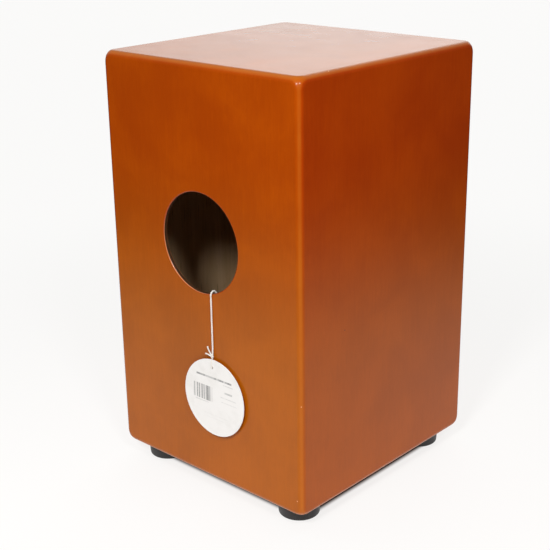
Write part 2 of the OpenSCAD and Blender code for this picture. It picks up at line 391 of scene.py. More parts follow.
def stain_with_painted_light(look, tone, facing, low_down):
    """The stain's colour with painted light and shade: a redder painted-shade copy on the sides, and painted
    light that makes it yellower low down and on top.
    """
    # Painted shade: faces that look sideways get the redder side copy of the stain
    sideways = look.fade(look.math("ABSOLUTE", facing["X"]), 0.35, 0.9)
    colour = look.mix(
        sideways, look.mix(tone, STAIN_DEEP, STAIN_PALE), look.mix(tone, PAINTED_SHADE_SIDE_DEEP, PAINTED_SHADE_SIDE_PALE)
    )
    # Painted light: yellower low down, where the floor lights the faces
    colour = look.mix(low_down, colour, PAINTED_LIGHT_LOW_DOWN, "ADD")
    # Painted light: yellower on faces that look up
    return look.mix(look.fade(facing["Z"], 0.5, 0.95), colour, PAINTED_LIGHT_ON_TOP, "ADD")


def rub_and_highlight_edges(look, colour, facing, low_down):
    """Makes the round edges paler, unevenly and more so low down: partly rubbed stain, partly a painted
    highlight.
    """
    turn = look.math("MAXIMUM", look.math("ABSOLUTE", facing["X"]), look.math("ABSOLUTE", facing["Y"]))
    turn = look.math("MAXIMUM", turn, look.math("ABSOLUTE", facing["Z"]))
    on_edge = look.fade(turn, 0.95, 0.78)
    rub_and_highlight = look.fade(look.noise(look.place, 30, detail=5, roughness=0.7), 0.3, 0.75, 0.6, 1)
    # More of the paler edge, rubbed and painted highlight, low down
    rub_and_highlight = look.math("MULTIPLY", rub_and_highlight, look.fade(low_down, 0, 1, 0.6, 1))
    return look.mix(look.math("MULTIPLY", on_edge, rub_and_highlight), colour, RUBBED_AND_HIGHLIT_EDGE)


def chip_edges(look, colour, ragged):
    """Adds the chips and bruises, with outlines made ragged by some noise."""
    for places, size, bare in CHIPS:
        for place in places:
            away = look.vector("DISTANCE", look.place, Vector(place) * MM)
            away = look.math("ADD", away, look.math("MULTIPLY", ragged, size))
            colour = look.mix(look.fade(away, 1.6 * size, 1.2 * size), colour, bare)
    return colour


def stained_wood(name, along, unevenness, grain_share):
    """Opaque orange-brown stain under satin lacquer, with painted light and shade in its colour."""
    look = Look(name, IOR=1.28)
    stretch = {"y": (14, 1, 14), "z": (14, 14, 1)}[along]
    cloud = look.noise(look.stretched(1, 1, 0.6), 4.5, detail=2)
    grain = look.noise(look.stretched(*stretch), 22, detail=6, roughness=0.65, distortion=0.3)
    fine = look.noise(look.stretched(*stretch), 90, detail=3, roughness=0.7)
    facing = look.axes(look.facing)
    low_down = look.fade(look.axes(look.place)["Z"], LOW_DOWN_HEIGHTS[1], LOW_DOWN_HEIGHTS[0])
    colour = stain_with_painted_light(look, stain_tone(look, cloud, grain, grain_share), facing, low_down)
    colour = look.scaled(colour, look.fade(fine, 0.35, 0.7, 0.965, 1.03))
    look.colour(chip_edges(look, rub_and_highlight_edges(look, colour, facing, low_down), fine))
    wear = look.noise(look.place, 35, detail=4, roughness=0.6)
    look.roughness(look.fade(wear, 0.3, 0.7, 0.22, 0.25))
    look.bump(look.math("ADD", grain, cloud), unevenness, 0.2 * MM)
    return look.material


def raw_wood(name, pale, deep, along="z"):
    """Bare planed wood: long grain lines, pores and slow changes of tone."""
    look = Look(name, IOR=1.35, Roughness=0.7)
    stretch = {"x": (0.06, 1, 1), "y": (1, 0.06, 1), "z": (1, 1, 0.06)}[along]
    rings = look.noise(look.stretched(*stretch), 60, detail=5, roughness=0.6, distortion=1.2)
    pores = look.noise(look.stretched(*stretch), 420, detail=2, roughness=0.6)
    slow = look.noise(look.place, 8, detail=2)
    tone = look.math("ADD", look.math("MULTIPLY", rings, 0.7), look.math("MULTIPLY", slow, 0.3))
    colour = look.mix(look.fade(tone, 0.35, 0.65), deep, pale)
    dark = tuple(0.55 * c for c in deep)
    colour = look.mix(look.fade(pores, 0.62, 0.75), colour, dark)
    look.colour(colour)
    look.roughness(look.fade(rings, 0.3, 0.7, 0.62, 0.8))
    look.bump(look.math("ADD", rings, pores), 0.25, 0.3 * MM)
    return look.material


PAINTED_RIM_HIGHLIGHT = (0.72, 0.27, 0.12)


def hole_wall():
    """The hole's sawn wall, stained dark brown, with glossy rims and a painted highlight: the rims are made
    pale low on the left, where they face the lights.
    """
    look = Look("sound_hole_wall", IOR=1.5)
    saw = look.noise(look.stretched(1, 8, 1), 160, detail=3, roughness=0.6)
    tone = look.fade(saw, 0.3, 0.7)
    facing = look.axes(look.facing)
    on_rim = look.fade(look.math("ABSOLUTE", facing["Y"]), 0.1, 0.5)
    wall = look.mix(tone, (0.035, 0.014, 0.005), (0.07, 0.028, 0.01))
    # Painted highlight: the rims that face the lights are paler
    wear_and_highlight = look.fade(look.math("ADD", facing["X"], facing["Z"]), 0.3, 1.1)
    look.colour(look.mix(on_rim, wall, look.mix(wear_and_highlight, STAIN_DEEP, PAINTED_RIM_HIGHLIGHT)))
    look.roughness(look.fade(on_rim, 0, 1, 0.5, 0.16))
    look.bump(saw, 0.1, 0.1 * MM)
    return look.material


def rubber():
    """Moulded black rubber: a fine matt skin with a little dust."""
    look = Look("foot_rubber", IOR=1.45)
    skin = look.noise(look.place, 900, detail=3, roughness=0.6)
    dust = look.noise(look.place, 60, detail=4, roughness=0.65)
    colour = look.mix(look.fade(dust, 0.5, 0.8), (0.022, 0.02, 0.02), (0.06, 0.055, 0.052))
    look.colour(colour)
    look.roughness(look.fade(dust, 0.3, 0.7, 0.42, 0.62))
    look.bump(skin, 0.3, 0.1 * MM)
    return look.material


def metal(name, tint, low_rough, high_rough):
    """Plated or drawn steel, with a fine grain and dull patches."""
    look = Look(name, Metallic=1.0)
    grain = look.noise(look.place, 700, detail=2)
    patches = look.noise(look.place, 120, detail=3)
    darker = tuple(0.72 * c for c in tint)
    look.colour(look.mix(look.fade(patches, 0.35, 0.7), tint, darker))
    look.roughness(look.fade(look.math("ADD", grain, patches), 0.7, 1.3, low_rough, high_rough))
    look.bump(grain, 0.15, 0.05 * MM)
    return look.material


def cotton():
    """Twisted off-white cotton: fibres along the thread, a soft sheen and grey in the folds."""
    look = Look("cotton_string", Roughness=0.85, Sheen_Weight=0.4, Sheen_Roughness=0.5)
    fibres = look.noise(look.stretched(1, 1, 0.2), 2600, detail=3, roughness=0.7)
    soil = look.noise(look.place, 90, detail=3)
    colour = look.mix(look.fade(fibres, 0.3, 0.7), (0.72, 0.66, 0.58), (0.93, 0.9, 0.86))
    look.colour(look.mix(look.fade(soil, 0.55, 0.75, 0, 0.35), colour, (0.66, 0.58, 0.48)))
    look.roughness(look.fade(fibres, 0.3, 0.7, 0.75, 0.95))
    look.bump(fibres, 0.5, 0.1 * MM)
    return look.material


# Plain grey bars and rules: left, right, bottom and top in mm from the card's middle, and how dark
CARD_RULES = [
    (-27, 27, 22.6, 24.8, 0.75), (14, 29, 19, 20, 0.3), (-30, -8, -8.6, -7.6, 0.3),
    (16, 28, 9.4, 11.6, 0.45), (10, 34, 3.4, 4.6, 0.22), (11, 35, -2.2, -1.2, 0.18),
    (-16, 20, -22, -21.2, 0.1), (-12, 16, -26, -25.2, 0.1),
]
CARD_BARS = (-33, -2, -6, 12)
CARD_BAR_W = 1.5
CARD_DASH_W = 3.5


def card_print(look):
    """How much plain grey ink lies on each place of the card, from 0 to 1."""
    in_mm = look.axes(look.scaled(look.vector("SUBTRACT", look.place, CARD_MIDDLE), 1 / MM))
    across, up = in_mm["X"], in_mm["Z"]

    def within(value, low, high):
        return look.math("COMPARE", value, (low + high) / 2, (high - low) / 2)

    def patch(left, right, bottom, top):
        return look.math("MULTIPLY", within(across, left, right), within(up, bottom, top))

    def stripes(width, low, high):
        """Upright stripes of one width, each with its own chance value mapped to low..high."""
        stripe = look.math("FLOOR", look.math("DIVIDE", across, width))
        chance = look.node("ShaderNodeTexWhiteNoise", {"W": stripe}, noise_dimensions="1D").outputs["Value"]
        return look.fade(chance, 0.25, 0.75, low, high)

    rules = 0
    for *edges, dark in CARD_RULES:
        rules = look.math("MAXIMUM", look.math("MULTIPLY", patch(*edges), dark), rules)
    rules = look.math("MULTIPLY", rules, stripes(CARD_DASH_W, 0.55, 1))
    bars = look.math("MULTIPLY", patch(*CARD_BARS), stripes(CARD_BAR_W, 0.1, 0.75))
    wear_and_highlight = look.noise(look.place, 900, detail=3)
    return look.math("MULTIPLY", look.math("MAXIMUM", rules, bars), look.fade(wear_and_highlight, 0.3, 0.6, 0.7, 1))


def printed_card():
    """Coated white card, with fibres, handling marks and plain grey printing."""
    look = Look("printed_card", IOR=1.4)
    fibres = look.noise(look.place, 1500, detail=3, roughness=0.6)
    marks = look.noise(look.place, 55, detail=4, roughness=0.6)
    paper = look.mix(look.fade(marks, 0.45, 0.8), (0.93, 0.905, 0.88), (0.85, 0.825, 0.795))
    paper = look.mix(look.fade(fibres, 0.35, 0.7, 0, 0.12), paper, (0.7, 0.66, 0.6))
    look.colour(look.mix(card_print(look), paper, (0.09, 0.09, 0.095)))
    look.roughness(look.fade(marks, 0.3, 0.7, 0.38, 0.55))
    look.bump(fibres, 0.15, 0.05 * MM)
    return look.material


SOFTWOOD = ((0.55, 0.38, 0.2), (0.42, 0.26, 0.12))
LOOKS = {
    "stain": stained_wood("stained_panels", along="z", unevenness=0.015, grain_share=0.2),
    "stain_level": stained_wood("stained_seat", along="y", unevenness=0.001, grain_share=0.06),
    "hole_wall": hole_wall(),
    "inside": raw_wood("inside_ply", (0.7, 0.48, 0.27), (0.56, 0.36, 0.185)),
    "batten_x": raw_wood("batten_wood_across", *SOFTWOOD, along="x"),
    "batten_z": raw_wood("batten_wood_upright", *SOFTWOOD, along="z"),
    "rubber": rubber(),
    "zinc": metal("zinc_plate", (0.62, 0.62, 0.6), 0.25, 0.45),
    "steel": metal("snare_steel", (0.66, 0.66, 0.67), 0.18, 0.32),
    "cotton": cotton(),
    "card": printed_card(),
}

# ---- camera ----

VIEW_AZIMUTH = 42.686
VIEW_ELEVATION = 19.692
VIEW_ROLL = -0.881
VIEW_DISTANCE = 1.3909
VIEW_LENS = 74.958
SENSOR_WIDTH = 36
VIEW_TARGET = BOX_MIDDLE + Vector((-29.1 * MM, 0, -39.4 * MM))


def direction(azimuth, elevation):
    """Unit vector from the middle towards an azimuth, which is 0 at -Y and 90 at +X."""
    a, e = math.radians(azimuth), math.radians(elevation)
    return Vector((math.sin(a) * math.cos(e), -math.cos(a) * math.cos(e), math.sin(e)))


def make_camera():
    """Looks at a place near the box's middle, and is turned a little about its line of sight."""
    data = bpy.data.cameras.new("camera")
    data.lens = VIEW_LENS
    data.sensor_width = SENSOR_WIDTH
    camera = bpy.data.objects.new("camera", data)
    bpy.context.scene.collection.objects.link(camera)
    back = direction(VIEW_AZIMUTH, VIEW_ELEVATION)
    right = UP.cross(back).normalized()
    turn = Matrix((right, back.cross(right), back)).transposed()
    turn = turn @ Matrix.Rotation(math.radians(VIEW_ROLL), 3, "Z")
    camera.matrix_world = Matrix.Translation(VIEW_TARGET + back * VIEW_DISTANCE) @ turn.to_4x4()
    bpy.context.scene.camera = camera


make_camera()

# ---- the tag's cord ----

STRING_D = 2 * MM
STRING_X = 16 * MM
STRING_GAP = 0.5 * MM
DROP_Y = REAR_LOW.y - STRING_GAP - STRING_D / 2
INSIDE_Y = REAR_HIGH.y + STRING_GAP + STRING_D / 2
ARCH_R = (INSIDE_Y - DROP_Y) / 2
ARCH_DROP = 1.2 * MM
RIM_Z = HOLE_CENTRE.z - math.sqrt(HOLE_R ** 2 - STRING_X ** 2)
ARCH = Vector((STRING_X, (DROP_Y + INSIDE_Y) / 2, RIM_Z - ARCH_DROP))
KNOT_LOW, KNOT_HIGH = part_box("tag_knot")
KNOT = (KNOT_LOW + KNOT_HIGH) / 2
KNOT_R = (KNOT_HIGH.z - KNOT_LOW.z) / 2
THREAD_D = 1.2 * MM
TAIL_D = 1.7 * MM
FRAYED = 2 * MM
TWIST = 4.5 * MM


def arch_point(degrees):
    """A place on the string's arch over the rim, from 0 inside the box to 180 outside."""
    a = math.radians(degrees)
    return ARCH + ARCH_R * Vector((0, math.cos(a), math.sin(a)))


def below_arch(y, drop):
    """A place on the string, at a drop in mm below the arch's middle."""
    return Vector((STRING_X, y, ARCH.z - drop * MM))


# From the staple up to the top of the arch, and from there down to the knot
INNER_ROUTE = [below_arch(INSIDE_Y, drop) for drop in (50, 44, 30, 14)]
INNER_ROUTE += [arch_point(angle) for angle in range(0, 91, 15)]
OUTER_ROUTE = [arch_point(angle) for angle in range(90, 181, 15)]
OUTER_ROUTE += [below_arch(DROP_Y, drop) for drop in (2, 6, 12, 20, 30, 40, 50, 62)]
OUTER_ROUTE += [Vector((STRING_X, KNOT.y + 0.3 * MM, KNOT.z + KNOT_R - 0.4 * MM))]


def two_ply(diameter):
    """Radius of a cord of two strands twisted together."""
    def radius_at(along, angle):
        lobes = abs(math.cos(angle - 2 * math.pi * along / TWIST))
        return diameter / 2 * (0.76 + 0.24 * lobes)
    return radius_at


def make_cord(name, route, body, node, **facts):
    """One stretch of the string. It rides on a body, or on none."""
    path = smooth_path(route, 0.35 * MM)
    cord = to_object(sweep(bmesh.new(), path, two_ply(STRING_D), 16), name, [LOOKS["cotton"]])
    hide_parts(node)
    if body:
        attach(cord, body)
    return cord


def make_knot():
    """An overhand knot of thread, as a closed trefoil."""
    reach = (KNOT_R - THREAD_D / 2) / 3
    path = []
    steps = 72
    for i in range(steps):
        t = 2 * math.pi * i / steps
        across = math.sin(t) + 2 * math.sin(2 * t)
        up = math.cos(t) - 2 * math.cos(2 * t)
        path.append(KNOT + reach * Vector((across, -math.sin(3 * t) * 1.3, up)))
    bm = sweep(bmesh.new(), path, lambda along, angle: THREAD_D / 2, 12, closed=True)
    knot = to_object(bm, "tag_knot_wound", [LOOKS["cotton"]])
    return place_piece(knot, ["tag_knot"], "hanging_string")


# In mm from the knot's middle
TAIL_ROUTES = [
    [(-1.2, 0, 1), (-2.8, -0.3, 4), (-4.4, -0.7, 7), (-5.4, -1, 9.5), (-5.9, -1.2, 11.5)],
    [(-1.2, -0.4, 0.5), (-4, -1, 1.6), (-6.6, -1.4, 2.2), (-8.8, -1.7, 2.4)],
]


def frayed(length):
    """Radius of a cut end of some length, a little frayed open at its tip."""
    def radius_at(along, angle):
        flare = clamp((along - length + FRAYED) / FRAYED, 0, 1)
        return TAIL_D / 2 * (0.92 + 0.25 * flare * flare + 0.08 * math.cos(5 * angle + along / MM))
    return radius_at


def make_tails():
    """The two cut ends, as one piece."""
    bm = bmesh.new()
    for route in TAIL_ROUTES:
        path = smooth_path([KNOT + Vector(p) * MM for p in route], 0.3 * MM)
        sweep(bm, path, frayed(path_length(path)), 12)
    tails = to_object(bm, "tag_cut_ends", [LOOKS["cotton"]])
    return place_piece(tails, ["tag_string_tails"], "hanging_string")


knot = make_knot()
tails = make_tails()
make_cord("tag_cord_inside", INNER_ROUTE, "box", "tag_string_inner", far_end="object", lay="taut")
tag_cord = make_cord(
    "tag_cord", OUTER_ROUTE, None, "tag_string", far_end="knot", lay="hanging", with_pieces=[knot, tails]
)
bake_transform(tag_cord)

# ---- panels ----


def cut_flat(bm, point, normal):
    """Cuts away what lies on the normal's side of a plane, and closes the cut."""
    everything = bm.verts[:] + bm.edges[:] + bm.faces[:]
    made = bmesh.ops.bisect_plane(
        bm, geom=everything, dist=1e-7, plane_co=point, plane_no=normal, clear_outer=True
    )
    edges = [e for e in made["geom_cut"] if isinstance(e, bmesh.types.BMEdge)]
    bmesh.ops.contextual_create(bm, geom=edges)


def shell_distance(point):
    """Distance outside the box's surface: round edges, and corners sanded rounder still."""
    depth = [min(point[i] - BOX_LOW[i], BOX_HIGH[i] - point[i]) for i in range(3)]
    beyond = Vector([max(EDGE_R - d, 0) for d in depth])
    edges = beyond.length - EDGE_R
    corner = (CORNER_CUT - sum(depth)) / math.sqrt(3)
    overlap = max(CORNER_BLEND - abs(edges - corner), 0)
    return max(edges, corner) + overlap * overlap / (4 * CORNER_BLEND)


def shell_slope(point):
    """The outward direction of the surface near a point."""
    step = 0.02 * MM
    ahead = [shell_distance(point + step * axis) - shell_distance(point - step * axis) for axis in (X, Y, Z)]
    return Vector(ahead).normalized()


# A face whose normal has at least this cosine to the shell's own counts as part of the shell
SHELL_COSINE = 0.9


def shell_normal(point, face_normal):
    """The surface's own normal on the shell, and the face's normal on a cut."""
    if abs(shell_distance(point)) > 0.1 * MM:
        return face_normal
    slope = shell_slope(point)
    return slope if slope.dot(face_normal) > SHELL_COSINE else face_normal


def shell_lines(low, high):
    """Grid lines across the box in one direction: close together on its edges and near its corners."""
    half = (high - low) / 2
    turns = [EDGE_R * math.tan(math.radians(45 * k / EDGE_STEPS)) for k in range(EDGE_STEPS + 1)]
    offsets = [half - EDGE_R - run for run in CORNER_LINES] + [half - EDGE_R + turn for turn in turns]
    return sorted([(low + high) / 2 + side * offset for offset in offsets for side in (-1, 1)])


def shell_solid():
    """The whole box's outer shape: a grid on a cube's six sides, drawn in to the surface."""
    bm = bmesh.new()
    lines = [shell_lines(BOX_LOW[i], BOX_HIGH[i]) for i in range(3)]
    for axis in range(3):
        across, up = (axis + 1) % 3, (axis + 2) % 3
        for level in (BOX_LOW[axis], BOX_HIGH[axis]):
            grid = []
            for a in lines[across]:
                point = Vector((0, 0, 0))
                point[axis], point[across] = level, a
                row = []
                for b in lines[up]:
                    point[up] = b
                    row.append(bm.verts.new(point))
                grid.append(row)
            for row, after in zip(grid, grid[1:]):
                for k in range(len(row) - 1):
                    bm.faces.new([row[k], row[k + 1], after[k + 1], after[k]])
    bmesh.ops.remove_doubles(bm, verts=bm.verts, dist=SAME)
    for vertex in bm.verts:
        core = Vector([clamp(vertex.co[i], BOX_LOW[i] + EDGE_R, BOX_HIGH[i] - EDGE_R) for i in range(3)])
        vertex.co = core + EDGE_R * (vertex.co - core).normalized()
        for _ in range(4):
            vertex.co -= shell_distance(vertex.co) * shell_slope(vertex.co)
    bmesh.ops.recalc_face_normals(bm, faces=bm.faces)
    return bm


def shell_piece(name, low, high):
    """The part of the rounded box between two corners: stained outside, bare inside."""
    bm = shell_solid()
    for axis in (X, Y, Z):
        if low.dot(axis) > BOX_LOW.dot(axis) + SAME:
            cut_flat(bm, low, -axis)
        if high.dot(axis) < BOX_HIGH.dot(axis) - SAME:
            cut_flat(bm, high, axis)
    piece = to_object(bm, name, [LOOKS["stain"], LOOKS["stain_level"], LOOKS["inside"]])
    for polygon in piece.data.polygons:
        on_shell = abs(shell_distance(polygon.center)) < 0.2 * MM
        on_shell = on_shell and shell_slope(polygon.center).dot(polygon.normal) > SHELL_COSINE
        level = abs(polygon.normal.z) > 0.999
        polygon.material_index = (1 if level else 0) if on_shell else 2
    return piece


# Faces this close to the box's own limits are taken out to them
OUTER_GAP = 2 * MM


def make_panel(name, node, seam=0):
    """A panel whose outer faces run to the box's own limits. A seam is left free on its -Y side."""
    low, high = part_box(node)
    low = Vector([BOX_LOW[i] if low[i] < BOX_LOW[i] + OUTER_GAP else low[i] for i in range(3)])
    high = Vector([BOX_HIGH[i] if high[i] > BOX_HIGH[i] - OUTER_GAP else high[i] for i in range(3)])
    return place_piece(shell_piece(name, low + Y * seam, high), [node])


def hole_normal(point, face_normal):
    """The rounded rim's own normal, and elsewhere the shell's."""
    radial = Vector((point.x - HOLE_CENTRE.x, 0, point.z - HOLE_CENTRE.z))
    if radial.length > HOLE_R + HOLE_RIM - SAME or abs(face_normal.y) > 0.9999:
        return shell_normal(point, face_normal)
    middle_y = clamp(point.y, REAR_LOW.y + HOLE_RIM, REAR_HIGH.y - HOLE_RIM)
    away = radial.normalized() * (radial.length - HOLE_R - HOLE_RIM) + Y * (point.y - middle_y)
    return away.normalized()


def cut_sound_hole(panel):
    """Cuts the hole with a spool, whose flared ends leave a rounded rim on both faces."""
    proud = 2 * MM
    rim = HOLE_R + HOLE_RIM
    thick = REAR_HIGH.y - REAR_LOW.y
    profile = [(0, -proud), (rim, -proud)]
    profile += arc((rim, HOLE_RIM), HOLE_RIM, 270, 180, 6)
    profile += arc((rim, thick - HOLE_RIM), HOLE_RIM, 180, 90, 6)
    profile += [(rim, thick + proud), (0, thick + proud)]
    along_y = Matrix.Translation(HOLE_CENTRE) @ Matrix.Rotation(math.radians(-90), 4, "X")
    cut_away(panel, lathe(bmesh.new(), profile, along_y, 160), LOOKS["hole_wall"])


TAPA_SEAM = 0.12 * MM
TAPA_HEAD_R = 3.5 * MM
# How much wider than its screw's head a seat is
TAPA_SEAT = 0.25 * MM


def cut_screw_seats(panel, places):
    """Cuts a cone of bare wood into a panel at each place."""
    bm = bmesh.new()
    wide = TAPA_HEAD_R + TAPA_SEAT
    for place in places:
        lathe(bm, [(0, MM), (wide, MM), (wide, -0.1 * MM), (0, -wide)], place, 40)
    cut_away(panel, bm, LOOKS["batten_x"])


PLAIN_BOARDS = {
    "left_side_board": "left_side_panel", "right_side_board": "right_side_panel",
    "seat_board": "top_panel", "base_board": "bottom_panel",
}

rear = make_panel("rear_board", "rear_panel")
cut_sound_hole(rear)
set_normals(rear, hole_normal)
for name, node in PLAIN_BOARDS.items():
    set_normals(make_panel(name, node), shell_normal)
tapa = make_panel("tapa_board", "tapa", TAPA_SEAM)
tapa_places = [Vector((m.x, TAPA_HIGH.y, m.z)) for m in solids("tapa_screws")]
cut_screw_seats(tapa, [aimed(place, Y) for place in tapa_places])
set_normals(tapa, shell_normal)

# ---- battens and crossbar ----

PLANKS = {
    "batten_z": [
        "left_front_batten", "right_front_batten", "left_rear_batten", "right_rear_batten",
        "left_crossbar_block", "right_crossbar_block",
    ],
    "batten_x": [
        "top_front_batten", "bottom_front_batten", "top_rear_batten", "bottom_rear_batten", "crossbar",
    ],
}


def make_plank(node, finish):
    """A planed piece of softwood, with slightly round edges."""
    bm = round_block(bmesh.new(), *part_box(node), 0.8 * MM, 2)
    plank = even_shading(to_object(bm, node + "_planed", [LOOKS[finish]]))
    return place_piece(plank, [node])


for finish, nodes in PLANKS.items():
    for node in nodes:
        make_plank(node, finish)

# ---- screws ----


def cross_cutter(reach, width, depth):
    """A cross that narrows towards its bottom, for the recess in a screw's head."""
    bm = bmesh.new()
    for quarter in (0, 90):
        turn = Matrix.Rotation(math.radians(quarter), 3, "Z")
        for vertex in bmesh.ops.create_cube(bm, size=2)["verts"]:
            length = reach * (0.4 if vertex.co.z < 0 else 1)
            vertex.co = turn @ Vector((vertex.co.x * length, vertex.co.y * width / 2, vertex.co.z * depth))
    return bm


# How far each screw is turned from the one before it, in degrees
SCREW_TURN = 37


def make_screws(name, node, profile, recess, places):
    """One screw, the top of its head at its own z = 0, repeated at each place and turned differently."""
    screw = to_object(lathe(bmesh.new(), profile, steps=32), "screw", [LOOKS["zinc"]])
    cut_away(screw, cross_cutter(**recess))
    bm = bmesh.new()
    for i, place in enumerate(places):
        before = len(bm.verts)
        bm.from_mesh(screw.data)
        bm.verts.ensure_lookup_table()
        turned = place @ Matrix.Rotation(math.radians(SCREW_TURN * i), 4, "Z")
        bmesh.ops.transform(bm, matrix=turned, verts=bm.verts[before:])
    bpy.data.objects.remove(screw)
    group = even_shading(to_object(bm, name, [LOOKS["zinc"]]), 40)
    return place_piece(group, [node])


TAPA_SHANK_R = 1.75 * MM
TAPA_SHANK_END = 12.5 * MM
TAPA_SCREW_LENGTH = 15.5 * MM
TAPA_HEAD_EDGE = 0.12 * MM
TAPA_SUNK = 0.15 * MM


def tapa_screw_profile():
    """A flat head above a cone, and a plain shank with a point."""
    cone = TAPA_HEAD_R - TAPA_SHANK_R
    return [
        (0, 0), (TAPA_HEAD_R - 0.15 * MM, 0), (TAPA_HEAD_R, -TAPA_HEAD_EDGE),
        (TAPA_SHANK_R, -TAPA_HEAD_EDGE - cone), (TAPA_SHANK_R, -TAPA_SHANK_END), (0, -TAPA_SCREW_LENGTH),
    ]


make_screws(
    "tapa_screws_driven", "tapa_screws", tapa_screw_profile(),
    recess={"reach": 2 * MM, "width": 0.75 * MM, "depth": 1.3 * MM},
    places=[aimed(place - Y * TAPA_SUNK, Y) for place in tapa_places],
)


def pan_head_profile(head_r, head_h, shank_r, length):
    """A domed head above a plain shank with a point."""
    profile = [(head_r * x, head_h * (y - 1)) for x, y in arc((0, 0), 1, 90, 0, 8)]
    return profile + [(shank_r, -head_h), (shank_r, -length + 2 * shank_r), (0, -length)]


# ---- snares ----

WIRES_PER_SET = 10
WIRE_GAUGE = 0.42 * MM
WIRE_D = 1.6 * MM
COIL_PITCH = 1.7 * MM
COIL_STEPS = 10


def coil(start, end):
    """Points of a coiled wire between two places."""
    along = end - start
    side = along.orthogonal().normalized()
    top = along.normalized().cross(side)
    radius = (WIRE_D - WIRE_GAUGE) / 2
    count = round(along.length / COIL_PITCH * COIL_STEPS)
    angles = [2 * math.pi * i / COIL_STEPS for i in range(count + 1)]
    return [
        start + along * i / count + radius * (side * math.cos(a) + top * math.sin(a))
        for i, a in enumerate(angles)
    ]


def make_snare_set(side):
    """A steel plate, and the coiled wires that are soldered to it."""
    plate_low, plate_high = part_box(side + "_snare_plate")
    plate = round_block(bmesh.new(), plate_low, plate_high, 0.25 * MM, 2)
    plate = even_shading(to_object(plate, side + "_snare_strip", [LOOKS["steel"]]))
    place_piece(plate, [side + "_snare_plate"])
    low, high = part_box(side + "_snare_wires")
    bm = bmesh.new()
    for i in range(WIRES_PER_SET):
        x = low.x + WIRE_D / 2 + (high.x - low.x - WIRE_D) * i / (WIRES_PER_SET - 1)
        path = coil(Vector((x, low.y + WIRE_D / 2, low.z)), Vector((x, high.y - WIRE_D / 2, high.z)))
        sweep(bm, path, lambda along, angle: WIRE_GAUGE / 2, 5)
    # The bead of solder that holds the wires' lower ends to the plate
    bead_low = Vector((low.x - MM, plate_high.y, low.z + 0.5 * MM))
    bead_high = Vector((high.x + MM, plate_high.y + 1.2 * MM, low.z + 3.5 * MM))
    round_block(bm, bead_low, bead_high, 0.5 * MM, 3)
    wires = to_object(bm, side + "_snare_coils", [LOOKS["steel"]])
    place_piece(wires, [side + "_snare_wires"])


for side in ("left", "right"):
    make_snare_set(side)

SNARE_SCREW_LENGTH = 13.6 * MM
snare_screw_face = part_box("snare_screws")[1].y
make_screws(
    "snare_screws_driven", "snare_screws",
    pan_head_profile(head_r=2.8 * MM, head_h=1.8 * MM, shank_r=1.5 * MM, length=SNARE_SCREW_LENGTH),
    recess={"reach": 1.5 * MM, "width": 0.6 * MM, "depth": 0.9 * MM},
    places=[aimed(Vector((m.x, snare_screw_face, m.z)), Y) for m in solids("snare_screws")],
)

# ---- feet ----

FOOT_NODES = ["rear_left_foot", "rear_right_foot", "front_left_foot", "front_right_foot"]
FOOT_ROUND = 2.5 * MM
FOOT_TAPER = 1.5 * MM
FOOT_TOP_ROUND = 0.8 * MM
# Where the grooves between the ribs begin, out from the middle
FOOT_GROOVES = (11 * MM, 14.5 * MM, 18 * MM)
FOOT_RECESS_R = 7.5 * MM
FOOT_RECESS_H = 10 * MM
FOOT_BORE_R = 2.05 * MM


def foot_profile(outer, height):
    """A taper with a round lower edge, ribs underneath, and a recess for the screw."""
    lower = outer - FOOT_TAPER
    groove = 0.7 * MM
    profile = [(FOOT_BORE_R, height), (FOOT_BORE_R, FOOT_RECESS_H), (FOOT_RECESS_R, FOOT_RECESS_H)]
    profile += [(FOOT_RECESS_R, groove), (FOOT_RECESS_R + groove, 0)]
    for ring in FOOT_GROOVES:
        profile += [(ring, 0), (ring + 0.3 * MM, groove), (ring + 1.2 * MM, groove), (ring + 1.5 * MM, 0)]
    profile += arc((lower - FOOT_ROUND, FOOT_ROUND), FOOT_ROUND, -90, 0, 6)
    profile += arc((outer - 0.9 * MM, height - FOOT_TOP_ROUND), FOOT_TOP_ROUND, 0, 90, 4)
    return profile


def make_foot(node):
    """Makes a foot, and says where on the floor its middle is."""
    low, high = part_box(node)
    middle = (low + high) / 2
    place = Matrix.Translation((middle.x, middle.y, low.z))
    bm = lathe(bmesh.new(), foot_profile((high.x - low.x) / 2, high.z - low.z), place, 96)
    foot = even_shading(to_object(bm, node + "_moulded", [LOOKS["rubber"]]), 40)
    place_piece(foot, [node])
    return Vector((middle.x, middle.y, 0))


foot_places = [make_foot(node) for node in FOOT_NODES]


def make_washers():
    low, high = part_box("foot_washers")
    edge = 0.15 * MM
    inner, outer, height = 2.2 * MM, 6.5 * MM, high.z - low.z
    profile = [
        (inner, edge), (inner + edge, 0), (outer - edge, 0), (outer, edge),
        (outer, height - edge), (outer - edge, height), (inner + edge, height), (inner, height - edge),
    ]
    bm = bmesh.new()
    for place in foot_places:
        lathe(bm, profile, Matrix.Translation(place + Z * low.z), 48)
    washers = even_shading(to_object(bm, "foot_washers_plated", [LOOKS["zinc"]]), 40)
    place_piece(washers, ["foot_washers"])


make_washers()
foot_screw_low, foot_screw_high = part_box("foot_screws")
foot_screw_length = foot_screw_high.z - foot_screw_low.z
make_screws(
    "foot_screws_driven", "foot_screws",
    pan_head_profile(head_r=4.2 * MM, head_h=2.6 * MM, shank_r=2 * MM, length=foot_screw_length),
    recess={"reach": 2.4 * MM, "width": 0.9 * MM, "depth": 1.5 * MM},
    places=[aimed(place + Z * foot_screw_low.z, -Z) for place in foot_places],
)

# ---- the tag ----

